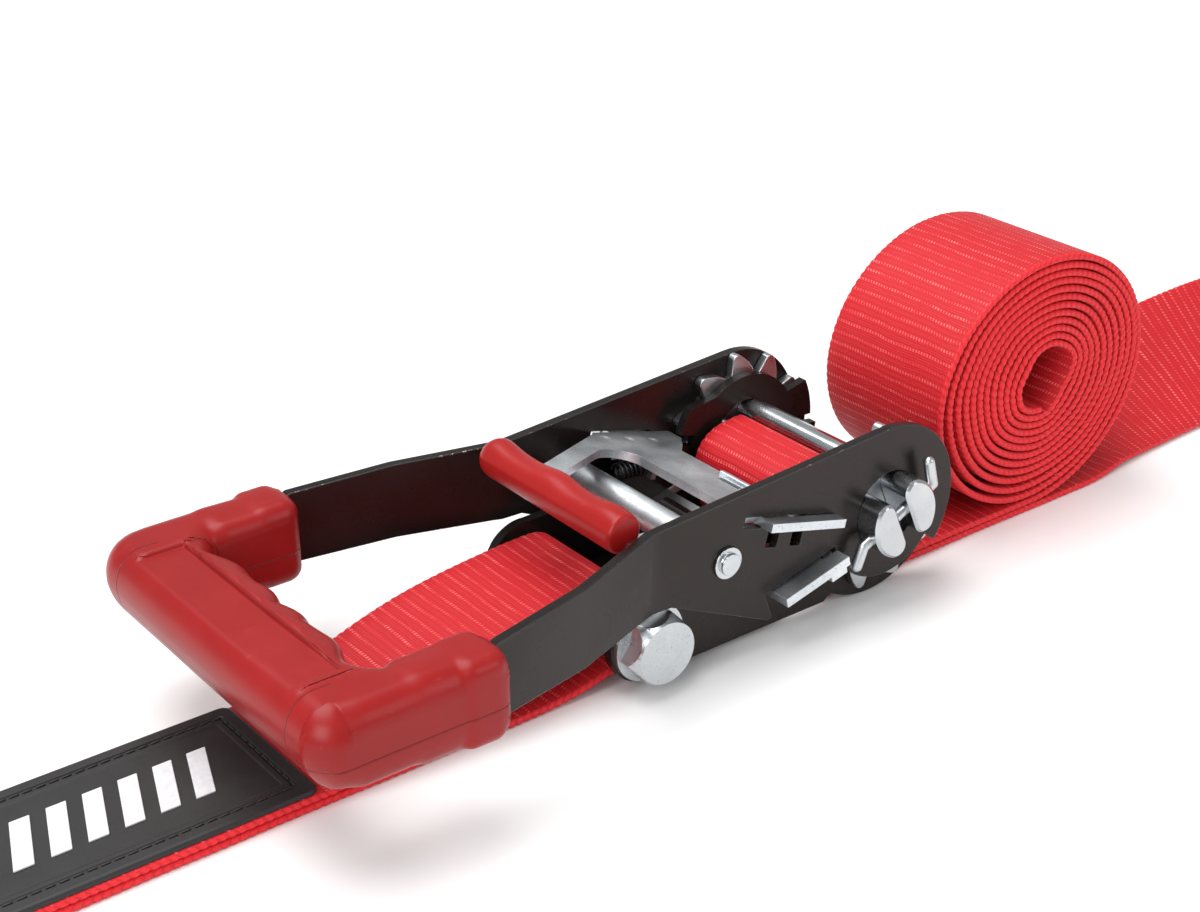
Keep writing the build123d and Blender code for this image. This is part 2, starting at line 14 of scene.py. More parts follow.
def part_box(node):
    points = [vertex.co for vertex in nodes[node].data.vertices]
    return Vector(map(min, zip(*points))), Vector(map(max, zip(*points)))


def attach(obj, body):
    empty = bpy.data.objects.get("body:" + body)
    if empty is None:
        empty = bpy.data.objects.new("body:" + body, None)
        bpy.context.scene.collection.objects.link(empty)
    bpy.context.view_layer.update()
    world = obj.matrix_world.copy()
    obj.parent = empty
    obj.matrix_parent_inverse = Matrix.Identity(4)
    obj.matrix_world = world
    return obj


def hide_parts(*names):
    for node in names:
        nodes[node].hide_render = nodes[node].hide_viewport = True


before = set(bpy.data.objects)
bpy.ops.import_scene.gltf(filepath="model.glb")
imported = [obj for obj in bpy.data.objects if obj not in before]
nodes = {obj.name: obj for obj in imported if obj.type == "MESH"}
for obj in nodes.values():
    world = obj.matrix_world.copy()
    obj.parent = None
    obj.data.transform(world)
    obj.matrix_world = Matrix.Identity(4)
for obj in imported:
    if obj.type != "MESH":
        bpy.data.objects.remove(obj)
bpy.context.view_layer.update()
MM = 0.001


def size_of(node):
    """Lowest and highest corner of a CAD node, in millimetres."""
    low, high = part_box(node)
    return np.array(low) / MM, np.array(high) / MM


# ---------------------------------------------------------------- driving sizes
ground = size_of("load_strap")[0][2]
strap_width = 50.0
strap_t = 2.2
half_t = strap_t / 2
layer_gap = 0.05
low_z = ground + half_t
next_z = low_z + strap_t + layer_gap

# the weave: rows of floats along the strap, floats side by side in a row, strands along the selvedge
rib_pitch = 3.5
yarn_pitch = 1.15
ground_pitch = 1.47
selvedge_pitch = 2.6
selvedge_width = 0.7


# ---------------------------------------------------------------- shader helpers
class Graph:
    """Adds shader nodes to one material with little typing."""

    def __init__(self, name):
        self.material = bpy.data.materials.new(name)
        self.material.use_nodes = True
        self.tree = self.material.node_tree
        self.shader = self.tree.nodes["Principled BSDF"]

    def put(self, socket, value):
        if isinstance(value, bpy.types.NodeSocket):
            self.tree.links.new(value, socket)
        else:
            socket.default_value = value

    def add(self, kind, inputs=None, **settings):
        made = self.tree.nodes.new("ShaderNode" + kind)
        for key, value in settings.items():
            setattr(made, key, value)
        for key, value in (inputs or {}).items():
            self.put(made.inputs[key], value)
        return made

    def calc(self, operation, a, b=0.0):
        return self.add("Math", {0: a, 1: b}, operation=operation).outputs[0]

    def noise(self, coordinate, scale, detail=2.0, roughness=0.5):
        inputs = {"Vector": coordinate, "Scale": scale, "Detail": detail, "Roughness": roughness}
        return self.add("TexNoise", inputs).outputs["Fac"]

    def ramp(self, value, low, high, out_low=0.0, out_high=1.0):
        made = self.add("MapRange", {0: value, 1: low, 2: high, 3: out_low, 4: out_high})
        return made.outputs[0]

    def mix(self, factor, a, b):
        made = self.add("Mix", {0: factor, 6: a, 7: b}, data_type="RGBA")
        return made.outputs[2]

    def place(self):
        """The piece's own coordinates, in metres."""
        return self.add("TexCoord").outputs["Object"]

    def bump(self, height, distance, strength=1.0, normal=None):
        made = self.add("Bump", {"Height": height, "Distance": distance, "Strength": strength})
        if normal is not None:
            self.put(made.inputs["Normal"], normal)
        return made.outputs["Normal"]

    def set(self, **sockets):
        for key, value in sockets.items():
            self.put(self.shader.inputs[key.replace("_", " ")], value)


def rgb(r, g, b):
    return (r, g, b, 1.0)


# ---------------------------------------------------------------- materials
def webbing_material(name, painted_glint, bright, mid, dark):
    """Woven polyester: rows of short floats across a fine ground weave, and a braided selvedge. The floats
    carry a painted highlight, the raised selvedge strands are painted lighter and the low places of the weave
    carry painted shade.
    """
    g = Graph(name)
    uv = g.add("UVMap", uv_map="weave").outputs["UV"]
    split = g.add("SeparateXYZ", {0: uv})
    across = g.calc("MULTIPLY", split.outputs[0], 1000.0)
    along = g.calc("MULTIPLY", split.outputs[1], 1000.0)
    wander = g.noise(uv, 60.0, 2.0)
    along_w = g.calc("ADD", along, g.ramp(wander, 0.3, 0.7, -0.30, 0.30))
    row = g.calc("DIVIDE", along_w, rib_pitch)
    in_row = g.calc("FRACT", row)
    row_index = g.calc("FLOOR", row)
    # the floats: short slanted dashes side by side in each row
    slant = g.calc("MULTIPLY", in_row, 0.9)
    shift = g.calc("MULTIPLY", g.calc("MODULO", row_index, 2.0), 0.5)
    column = g.calc("ADD", g.calc("DIVIDE", across, yarn_pitch), g.calc("ADD", slant, shift))
    ridge = g.calc("ABSOLUTE", g.calc("SINE", g.calc("MULTIPLY", column, math.pi)))
    from_middle = g.calc("ABSOLUTE", g.calc("SUBTRACT", in_row, 0.5))
    float_long = g.ramp(from_middle, 0.19, 0.09)
    floats = g.calc("MULTIPLY", g.calc("POWER", ridge, 1.6), float_long)
    # a fainter row of shorter floats halfway between two rows
    faint_long = g.ramp(from_middle, 0.38, 0.47, 0.0, 0.38)
    faint = g.calc("MULTIPLY", g.calc("POWER", ridge, 1.6), faint_long)
    floats = g.calc("MAXIMUM", floats, faint)
    # the ground weave between the rows, half the size
    ground_along = g.calc("ABSOLUTE", g.calc("SINE", g.calc("MULTIPLY", along_w, 2 * math.pi / ground_pitch)))
    ground_across = g.calc("ABSOLUTE", g.calc("COSINE", g.calc("MULTIPLY", column, 2 * math.pi)))
    ground_weave = g.calc("MULTIPLY", g.calc("MULTIPLY", ground_along, ground_across), 0.34)
    face = g.calc("MAXIMUM", floats, ground_weave)
    # the selvedge: strands that cross the edge at a slant, first one way and then the other
    out = g.calc("SUBTRACT", g.calc("ABSOLUTE", across), strap_width / 2 - selvedge_width)
    on_edge = g.ramp(out, 0.0, 0.5)
    turn = g.calc("ABSOLUTE", g.calc("SUBTRACT", out, 1.5))
    strand = g.calc("ADD", g.calc("DIVIDE", along_w, selvedge_pitch), g.calc("MULTIPLY", turn, 0.36))
    strand_wave = g.calc("ABSOLUTE", g.calc("SINE", g.calc("MULTIPLY", strand, math.pi)))
    strand_high = g.calc("POWER", strand_wave, 0.6)
    height = g.add("Mix", {0: on_edge, 2: face, 3: strand_high}).outputs[0]
    fibre = g.noise(g.add("Mapping", {0: uv, 3: (1.0, 0.12, 1.0)}).outputs[0], 5200.0, 3.0)
    worn = g.noise(uv, 140.0, 3.0, 0.6)
    row_tone = g.noise(g.add("CombineXYZ", {0: g.calc("MULTIPLY", row_index, 0.73)}).outputs[0], 9.0, 1.0)
    # one mask for the floats' painted glint in the colour and for their lower roughness
    painted_glint_and_gloss = g.calc("MULTIPLY", floats, g.ramp(worn, 0.36, 0.66, 0.35, 1.15))
    painted_glint_and_gloss = g.calc("MULTIPLY", painted_glint_and_gloss, g.ramp(row_tone, 0.35, 0.65, 0.6, 1.1))
    painted_glint_and_gloss = g.calc("MULTIPLY", painted_glint_and_gloss, g.ramp(fibre, 0.3, 0.7, 0.75, 1.15))
    # painted shade: the low places of the weave, between the floats, darker towards the dark red
    colour = g.mix(g.ramp(height, 0.0, 0.36), dark, mid)
    # painted highlight: the floats' tops mixed towards a pale pink glint colour
    colour = g.mix(g.ramp(painted_glint_and_gloss, 0.25, 1.05), colour, painted_glint)
    # painted highlight: the raised selvedge strands lighter towards the bright red, their grooves at the mid
    # red
    edge_colour = g.mix(g.ramp(strand_high, 0.25, 0.9), mid, bright)
    colour = g.mix(on_edge, colour, edge_colour)
    soil = g.noise(uv, 24.0, 4.0)
    colour = g.mix(g.ramp(soil, 0.58, 0.8, 0.0, 0.10), colour, dark)
    normal = g.bump(height, 0.00026, 0.8)
    normal = g.bump(fibre, 0.00005, 0.5, normal)
    rough = g.ramp(painted_glint_and_gloss, 0.1, 0.8, 0.56, 0.30)
    g.set(Base_Color=colour, Roughness=rough, Normal=normal)
    g.set(Sheen_Weight=0.05, Sheen_Roughness=0.35, Sheen_Tint=rgb(1.0, 0.45, 0.4), Specular_IOR_Level=0.32)
    return g.material


def enamel_material():
    """Glossy black enamel on pressed steel, with orange peel, fine scratches and dull handling marks."""
    g = Graph("black_enamel")
    at = g.place()
    peel = g.noise(at, 700.0, 2.0)
    smudge = g.noise(at, 38.0, 4.0, 0.6)
    scratch_at = g.add("Mapping", {0: at, 2: (0.3, 0.5, 0.2), 3: (26.0, 240.0, 700.0)}).outputs[0]
    scratch = g.noise(scratch_at, 1.6, 3.0, 0.65)
    scratched = g.ramp(scratch, 0.70, 0.78)
    colour = g.mix(g.ramp(smudge, 0.35, 0.75), rgb(0.0075, 0.0060, 0.0056), rgb(0.0115, 0.0095, 0.0088))
    colour = g.mix(g.calc("MULTIPLY", scratched, 0.05), colour, rgb(0.20, 0.19, 0.18))
    rough = g.ramp(smudge, 0.3, 0.75, 0.24, 0.31)
    rough = g.calc("ADD", rough, g.calc("MULTIPLY", scratched, 0.08))
    normal = g.bump(peel, 0.00003, 0.2)
    g.set(Base_Color=colour, Roughness=rough, Normal=normal)
    g.set(Specular_IOR_Level=0.30, Specular_Tint=rgb(1.0, 0.84, 0.78))
    return g.material


def worn_edge_material():
    """The enamel along pressed edges, chipped to bare metal in small spots."""
    g = Graph("black_enamel_edge")
    at = g.place()
    chip = g.noise(at, 420.0, 3.0, 0.7)
    area = g.noise(at, 46.0, 2.0)
    worn = g.calc("MULTIPLY", g.ramp(chip, 0.58, 0.63), g.ramp(area, 0.55, 0.64))
    colour = g.mix(worn, rgb(0.022, 0.021, 0.020), rgb(0.40, 0.385, 0.36))
    g.set(Base_Color=colour, Roughness=g.ramp(worn, 0.0, 1.0, 0.24, 0.38))
    g.set(Metallic=g.calc("MULTIPLY", worn, 0.9), Specular_IOR_Level=0.4)
    return g.material


def zinc_material(name, speckle=0.5, rough=0.28, low=rgb(0.46, 0.485, 0.505), high=rgb(0.60, 0.62, 0.635)):
    """Zinc plate: bluish silver with a fine grain and small dark pits."""
    g = Graph(name)
    at = g.place()
    cloud = g.noise(at, 60.0, 4.0, 0.6)
    grain = g.noise(at, 1500.0, 2.0, 0.6)
    pit = g.noise(at, 2300.0, 1.0)
    pits = g.calc("MULTIPLY", g.ramp(pit, 0.66, 0.74), speckle)
    colour = g.mix(g.ramp(cloud, 0.3, 0.7), low, high)
    colour = g.mix(pits, colour, rgb(0.12, 0.125, 0.13))
    clouded = g.ramp(cloud, 0.3, 0.75, rough - 0.05, rough + 0.08)
    roughness = g.calc("ADD", clouded, g.calc("MULTIPLY", pits, 0.3))
    height = g.calc("ADD", g.calc("MULTIPLY", grain, 0.6), g.calc("MULTIPLY", cloud, 1.2))
    normal = g.bump(height, 0.00005, 0.5)
    g.set(Base_Color=colour, Roughness=roughness, Normal=normal, Metallic=1.0)
    return g.material


def rubber_material(name, deep, pale, rough_low, rough_high, seam=None):
    """Moulded red rubber: satin, with a fine grain, faint cloudy tone and rubbed spots."""
    g = Graph(name)
    at = g.place()
    cloud = g.noise(at, 30.0, 4.0, 0.6)
    fine = g.noise(at, 1100.0, 2.0)
    rub_at = g.add("Mapping", {0: at, 2: (0.2, 0.1, 0.9), 3: (90.0, 300.0, 90.0)}).outputs[0]
    rub = g.ramp(g.noise(rub_at, 1.4, 3.0, 0.7), 0.66, 0.74)
    colour = g.mix(g.ramp(cloud, 0.3, 0.7), deep, pale)
    colour = g.mix(g.calc("MULTIPLY", rub, 0.10), colour, rgb(0.62, 0.16, 0.14))
    rough = g.calc("ADD", g.ramp(cloud, 0.3, 0.7, rough_low, rough_high), g.calc("MULTIPLY", rub, 0.08))
    height = g.calc("ADD", g.calc("MULTIPLY", fine, 0.5), g.calc("MULTIPLY", cloud, 1.5))
    normal = g.bump(height, 0.00005, 0.35)
    if seam is not None:
        lines = seam(g, at)
        colour = g.mix(g.calc("MULTIPLY", lines, 0.35), colour, rgb(0.09, 0.002, 0.002))
        normal = g.bump(lines, 0.0003, 0.9, normal)
    g.set(Base_Color=colour, Roughness=rough, Normal=normal)
    g.set(Specular_IOR_Level=0.26, Subsurface_Weight=0.04, Subsurface_Radius=(0.004, 0.001, 0.0008))
    return g.material


def line_at(g, value, centre, half_width):
    """1 on a thin line where the value is at the centre given, 0 elsewhere."""
    away = g.calc("ABSOLUTE", g.calc("SUBTRACT", value, centre))
    return g.ramp(away, half_width, half_width * 0.3)


def grip_seams(g, at):
    """Mould lines: one round the middle height, one across the bar near each end, one beside the panel."""
    split = g.add("SeparateXYZ", {0: at})
    x, y, z = split.outputs[0], split.outputs[1], split.outputs[2]
    thin = 0.00035
    middle = line_at(g, z, 0.0040, thin)
    side = line_at(g, g.calc("ABSOLUTE", y), 0.0435, thin)
    front = g.calc("LESS_THAN", x, -0.1905)
    side = g.calc("MULTIPLY", side, front)
    beside = line_at(g, x, -0.1852, 0.00060)
    upper = g.calc("GREATER_THAN", z, 0.0155)
    within = g.calc("LESS_THAN", g.calc("ABSOLUTE", g.calc("ADD", y, 0.0005)), 0.0385)
    beside = g.calc("MULTIPLY", beside, g.calc("MULTIPLY", upper, within))
    return g.calc("MAXIMUM", g.calc("MAXIMUM", middle, side), beside)


def patch_material():
    """Black moulded rubber with a fine matt grain."""
    g = Graph("patch_rubber")
    at = g.place()
    grain = g.noise(at, 1700.0, 2.0, 0.7)
    cloud = g.noise(at, 45.0, 3.0)
    colour = g.mix(g.ramp(cloud, 0.3, 0.7), rgb(0.0085, 0.0080, 0.0080), rgb(0.0165, 0.0155, 0.0155))
    normal = g.bump(grain, 0.00008, 0.5)
    g.set(Base_Color=colour, Roughness=g.ramp(cloud, 0.3, 0.7, 0.46, 0.60), Normal=normal)
    return g.material


def plain_detail(name, low, high, rough, scale):
    """A small detail's material: two near tones in a fine cloud, with matching grain."""
    g = Graph(name)
    at = g.place()
    cloud = g.noise(at, scale, 3.0)
    colour = g.mix(g.ramp(cloud, 0.3, 0.7), low, high)
    normal = g.bump(cloud, 0.00006, 0.5)
    g.set(Base_Color=colour, Roughness=g.ramp(cloud, 0.3, 0.7, rough - 0.06, rough + 0.06), Normal=normal)
    return g.material


web_red = webbing_material(
    "red_webbing",
    # painted highlight colour on the floats
    painted_glint=rgb(0.94, 0.17, 0.16),
    # painted highlight colour on the raised selvedge strands
    bright=rgb(0.74, 0.020, 0.028),
    mid=rgb(0.62, 0.015, 0.022),
    # painted shade colour in the weave's low places, also the tone of the random soil
    dark=rgb(0.42, 0.006, 0.011),
)
enamel = enamel_material()
worn_edge = worn_edge_material()
zinc = zinc_material("zinc_plate")
zinc_smooth = zinc_material("zinc_plate_smooth", 0.35, 0.22)
zinc_dull = zinc_material("zinc_plate_dull", 0.7, 0.42, rgb(0.52, 0.56, 0.59), rgb(0.84, 0.87, 0.89))
spring_wire = zinc_material("spring_wire", 0.1, 0.4, rgb(0.05, 0.05, 0.055), rgb(0.10, 0.10, 0.105))
grip_red = rubber_material(
    "red_rubber", rgb(0.250, 0.0070, 0.0070), rgb(0.300, 0.0095, 0.0095), 0.30, 0.40, grip_seams,
)
dip_red = rubber_material("red_dip", rgb(0.29, 0.0085, 0.0080), rgb(0.35, 0.0115, 0.0105), 0.28, 0.38)
patch_black = patch_material()
patch_white = plain_detail("patch_white", rgb(0.62, 0.63, 0.65), rgb(0.72, 0.72, 0.73), 0.42, 700.0)
thread_black = plain_detail("patch_thread", rgb(0.010, 0.010, 0.011), rgb(0.030, 0.029, 0.029), 0.55, 2500.0)
thread_red = plain_detail("strap_thread", rgb(0.46, 0.010, 0.012), rgb(0.70, 0.035, 0.035), 0.5, 2500.0)


# ---------------------------------------------------------------- mesh helpers
def make_object(name, points, faces, material, smooth=True):
    """A mesh object from points in millimetres."""
    mesh = bpy.data.meshes.new(name)
    mesh.from_pydata([tuple(float(c) * MM for c in p) for p in points], [], faces)
    mesh.validate()
    mesh.polygons.foreach_set("use_smooth", [smooth] * len(mesh.polygons))
    mesh.materials.append(material)
    made = bpy.data.objects.new(name, mesh)
    bpy.context.scene.collection.objects.link(made)
    return made


def unit(v):
    return v / np.linalg.norm(v, axis=-1, keepdims=True)


def smooth_line(points, start, end, step=0.5):
    """Points along a cubic curve through the given points, with the given end directions."""
    p = np.array(points, float)
    chord = np.linalg.norm(np.diff(p, axis=0), axis=1)
    count = len(p)
    left = np.zeros((count, count))
    right = np.zeros_like(p)
    left[0, 0] = 1.0
    left[-1, -1] = 1.0
    right[0] = unit(np.array(start, float))
    right[-1] = unit(np.array(end, float))
    for i in range(1, count - 1):
        before = chord[i - 1]
        after = chord[i]
        left[i, i - 1] = 1 / before
        left[i, i] = 2 * (1 / before + 1 / after)
        left[i, i + 1] = 1 / after
        right[i] = 3 * ((p[i] - p[i - 1]) / before**2 + (p[i + 1] - p[i]) / after**2)
    slope = np.linalg.solve(left, right)
    made = []
    for i in range(count - 1):
        parts = max(2, int(chord[i] / step))
        t = np.linspace(0, 1, parts, endpoint=False)[:, None]
        h = chord[i]
        made.append(
            (2 * t**3 - 3 * t**2 + 1) * p[i] + (t**3 - 2 * t**2 + t) * h * slope[i]
            + (3 * t**2 - 2 * t**3) * p[i + 1] + (t**3 - t**2) * h * slope[i + 1]
        )
    made.append(p[-1:])
    return np.vstack(made)


def straight(a, b, step=0.5):
    """Evenly spaced points from a to b."""
    count = max(2, int(math.dist(a, b) / step))
    return np.linspace(a, b, count + 1)


def bend(centre, radius, from_deg, to_deg, step=0.5):
    """An arc of points in the XZ plane."""
    count = max(8, int(abs(math.radians(to_deg - from_deg)) * radius / step))
    angle = np.radians(np.linspace(from_deg, to_deg, count + 1))
    return np.column_stack([centre[0] + radius * np.cos(angle), centre[1] + radius * np.sin(angle)])


def in_plane(runs):
    """Joins runs of (x, z) points into one line of (x, y, z) points with the strap's width along Y."""
    flat = [runs[0]] + [r[1:] for r in runs[1:]]
    xz = np.vstack(flat)
    line = np.column_stack([xz[:, 0], np.zeros(len(xz)), xz[:, 1]])
    return line, np.tile([0.0, 1.0, 0.0], (len(line), 1))


def resample(line, across, step):
    """The same line with points an even distance apart."""
    length = np.concatenate([[0], np.cumsum(np.linalg.norm(np.diff(line, axis=0), axis=1))])
    keep = np.concatenate([[True], np.diff(length) > 1e-6])
    line = line[keep]
    across = across[keep]
    length = length[keep]
    count = int(round(length[-1] / step))
    wanted = np.linspace(0, length[-1], count + 1)
    new_line = np.column_stack([np.interp(wanted, length, line[:, k]) for k in range(3)])
    new_across = unit(np.column_stack([np.interp(wanted, length, across[:, k]) for k in range(3)]))
    return new_line, new_across, wanted


# the strap's cross section: flat faces with half-round edges
strap_step = 0.825
flat_points = 11
edge_angles = np.radians([36, 72, 108, 144])
right_end = flat_points + len(edge_angles)
bottom_end = right_end + flat_points - 1


def strap_section():
    """Points round a strap's cross section, as (across, up, on an edge)."""
    flat_half = strap_width / 2 - half_t
    across_steps = np.linspace(-flat_half, flat_half, flat_points)
    ring = [(x, half_t, False) for x in across_steps]
    ring += [(flat_half + half_t * math.sin(a), half_t * math.cos(a), True) for a in edge_angles]
    ring += [(x, -half_t, False) for x in across_steps[::-1]]
    ring += [(-flat_half - half_t * math.sin(a), -half_t * math.cos(a), True) for a in edge_angles]
    return ring


def strap_mesh(name, line, across, material, wobble=0.25):
    """A woven strap with ribs and a scalloped selvedge along a line of points."""
    line, across, length = resample(line, across, strap_step)
    along = unit(np.gradient(line, axis=0))
    up = unit(np.cross(along, across))
    side = unit(np.cross(up, along))
    ring = strap_section()
    points = np.zeros((len(line), len(ring), 3))
    rib = 0.5 - 0.5 * np.cos(2 * math.pi * length / rib_pitch)
    scallop = np.abs(np.sin(math.pi * length / selvedge_pitch))
    drift = np.array([noise.noise(Vector((s * 0.045, 3.1, 0.7))) for s in length]) * wobble
    for k, (x, z, on_edge) in enumerate(ring):
        if on_edge:
            lift = z * (0.92 + 0.08 * scallop)
            wide = x - math.copysign(0.35, x) * (1 - scallop)
        else:
            lift = z * (0.96 + 0.04 * rib)
            wide = x
        points[:, k] = line + side * (wide + drift)[:, None] + up * lift[:, None]
    count = len(ring)
    faces = []
    for i in range(len(line) - 1):
        here = i * count
        ahead = here + count
        for k in range(count):
            n = (k + 1) % count
            faces.append((here + k, here + n, ahead + n, ahead + k))
    last = (len(line) - 1) * count
    faces.append(tuple(range(count))[::-1])
    faces.append(tuple(last + k for k in range(count)))
    made = make_object(name, points.reshape(-1, 3), faces, material)
    weave_coordinates(made, ring, length)
    return made


def weave_coordinates(made, ring, length):
    """Gives each face corner its place on the weave: across the strap and along it, in metres."""
    layer = made.data.uv_layers.new(name="weave")
    edge = strap_width / 2 - half_t
    count = len(ring)
    go_round = [0.0]
    for k in range(count):
        x, z, _ = ring[k]
        next_x, next_z_up, _ = ring[(k + 1) % count]
        go_round.append(go_round[-1] + math.hypot(next_x - x, next_z_up - z))
    whole = go_round[count]
    loops = np.zeros((len(made.data.loops), 2))
    for face in made.data.polygons:
        if len(face.vertices) != 4:
            continue
        base = min(v % count for v in face.vertices)
        top = max(v % count for v in face.vertices)
        if base == 0 and top == count - 1:
            base = count - 1
        for loop, vertex in zip(face.loop_indices, face.vertices):
            k = vertex % count
            ring_at = whole if (base == count - 1 and k == 0) else go_round[k]
            if base < right_end:
                u = ring_at - edge
            elif base < bottom_end:
                u = edge - (ring_at - go_round[right_end])
            else:
                u = -edge - (whole - ring_at)
            loops[loop] = (u * MM, length[vertex // count] * MM)
    layer.data.foreach_set("uv", loops.ravel())


# ---------------------------------------------------------------- webbing
sleeve_low, sleeve_high = size_of("bolt_sleeve")
bolt_x = (sleeve_low[0] + sleeve_high[0]) / 2
bolt_z = (sleeve_low[2] + sleeve_high[2]) / 2
wrap_r = (sleeve_high[0] - sleeve_low[0]) / 2 + 0.15 + half_t
hook_r = 4.0
eye_r = hook_r + 0.15 + half_t
eye_z = ground + hook_r + 0.15 + strap_t
hook_reach = size_of("load_hook")[0][0] + hook_r
anchor_reach = size_of("anchor_hook")[1][0] - hook_r
front_x = -4.0
flat_end_x = 104.0
lift_end_x = 300.0
fold_end_x = 304.0
anchor_rise_x = -182.0
anchor_low_x = -124.0


def folded_back(reach, inward):
    """The strap's end laid back from the hook's eye, down onto the strap: three points."""
    return [(reach, eye_z + eye_r), (reach + inward * 9, next_z + 1.6), (reach + inward * 18, next_z)]


def load_strap_line():
    """From the slot round the front half shaft, along the ground under the coil, then leaning to one side."""
    loop = smooth_line(
        [(-3.32, 7.45), (-7.9, 8.15), (-13.3, 7.3), (-17.4, 5.2), (-20.5, 1.2), (-21.2, -4.5),
         (-19.4, -14.0), (-14.0, -23.4), (front_x, low_z)],
        (-0.407, 0.914), (1, 0),
    )
    first, first_across = in_plane([loop, straight((front_x, low_z), (flat_end_x, low_z))])
    # X, lean in degrees and Y of the near edge
    lie = smooth_line(
        [(flat_end_x, 0, -25.0), (126, 9, -22.3), (152, 26, -20.0), (190, 41, -18.9), (226, 41, -19.5),
         (264, 22, -22.0), (lift_end_x, 0, -25.0)],
        (1, 0, 0), (1, 0, 0),
    )
    tilt = np.radians(lie[:, 1])
    centre_y = lie[:, 2] + strap_width / 2 * np.cos(tilt)
    centre_z = ground + strap_width / 2 * np.sin(tilt) + half_t * np.cos(tilt)
    twist = np.column_stack([lie[:, 0], centre_y, centre_z])
    twist_across = np.column_stack([np.zeros(len(tilt)), np.cos(tilt), np.sin(tilt)])
    end, end_across = in_plane([
        straight((lift_end_x, low_z), (hook_reach, low_z)),
        bend((hook_reach, eye_z), eye_r, -90, 90),
        smooth_line(folded_back(hook_reach, -1) + [(fold_end_x, next_z)], (-1, 0), (-1, 0)),
    ])
    line = np.vstack([first, twist[1:], end[1:]])
    across = np.vstack([first_across, twist_across[1:], end_across[1:]])
    return line, across


def anchor_strap_line():
    """Over the bolt's sleeve, round it and back along the ground to the anchor hook's eye."""
    rise = smooth_line(
        [(anchor_rise_x, next_z), (-166, -22.6), (-149, -16.6), (-128, -10.8), (-104, -7.6),
         (bolt_x, bolt_z + wrap_r)],
        (1, 0), (1, 0),
    )
    lower = smooth_line(
        [(bolt_x, bolt_z - wrap_r), (-102, low_z + 1.5), (anchor_low_x, low_z)], (-1, 0), (-1, 0),
    )
    return in_plane([
        straight((anchor_reach + 18.6, next_z), (anchor_rise_x, next_z)),
        rise,
        bend((bolt_x, bolt_z), wrap_r, 90, -90),
        lower,
        straight((anchor_low_x, low_z), (anchor_reach, low_z)),
        bend((anchor_reach, eye_z), eye_r, 270, 90),
        smooth_line(folded_back(anchor_reach, 1), (1, 0), (1, 0)),
    ])


coil_wide = 1.13
coil_turns = 12
coil_z = 15.0
coil_x = 77.0
outer_r = coil_z - next_z
core_r = 9.5
outer_slack = 0.25
tail_turn_x = 20.0


def coil_line():
    """The spare strap: out of the slot, along the load strap and rolled up, looser at the lower left."""
    tail = smooth_line(
        [(3.32, -7.45), (5.4, -13.2), (9.6, -21.0), (tail_turn_x, next_z)], (0.407, -0.914), (1, 0),
    )
    run = straight((tail_turn_x, next_z), (coil_x, next_z))
    turns = np.linspace(0, coil_turns, coil_turns * 300 + 1)
    angle = np.radians(-90 + 360 * turns)
    slack = outer_slack * np.minimum(turns, 3.0)
    radius = outer_r - (outer_r - core_r - 3.0 * outer_slack) * turns / coil_turns - slack
    settle = np.clip(turns / 1.2, 0, 1) ** 2
    # the inner turns sit up and to the right, which opens the gaps at the lower left
    loose = settle * np.clip(turns / 3.4, 0, 1)
    shift_x = 1.55 * loose
    shift_z = 0.85 * loose
    # towards the core the turns flatten into a leaning slot
    core = np.clip((turns - 7.0) / 5.0, 0, 1)
    ripple = 0.22 * settle * np.sin(3 * angle + 0.8)
    ripple = ripple + 1.25 * core * np.cos(2 * (angle - math.radians(58)))
    ripple = ripple + 0.45 * core * np.cos(4 * (angle - math.radians(15)))
    wandering = [Vector((2.2 * math.cos(a), 2.2 * math.sin(a), 0.21 * t)) for a, t in zip(angle, turns)]
    uneven = [noise.noise(v) for v in wandering]
    ripple = ripple + 0.42 * settle * np.array(uneven)
    x = coil_x + shift_x + coil_wide * (radius + ripple) * np.cos(angle)
    z = coil_z + shift_z + (radius + ripple) * np.sin(angle)
    return in_plane([tail, run, np.column_stack([x, z])])


load_line, load_across = load_strap_line()
load_web = strap_mesh("load_webbing", load_line, load_across, web_red)
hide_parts("load_strap")
anchor_line, anchor_across = anchor_strap_line()
anchor_web = strap_mesh("anchor_webbing", anchor_line, anchor_across, web_red)
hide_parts("anchor_strap")
spare_line, spare_across = coil_line()
spare_web = strap_mesh("spare_webbing", spare_line, spare_across, web_red)
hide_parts("spare_tail", "spare_coil")
slot_deg = math.radians(114.0)
slot_half = 8.1
slot_end = np.array([slot_half * math.cos(slot_deg), slot_half * math.sin(slot_deg)])
slot_line, slot_across = in_plane([straight(-slot_end, slot_end)])
slot_web = strap_mesh("slot_webbing", slot_line, slot_across, web_red, wobble=0.0)
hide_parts("webbing_threaded")


straps = [
    (load_web, "frame", load_line, "laid", ["load_hook", "half_shaft_front"]),
    (anchor_web, "frame", anchor_line, "laid", ["bolt_sleeve", "anchor_hook"]),
    (spare_web, "frame", spare_line, "folded", ["load_webbing"]),
    (slot_web, "spindle", slot_line, "gathered", ["half_shaft_front", "half_shaft_rear"]),
]
for strap, body, line, held, rests_on in straps:
    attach(strap, body)


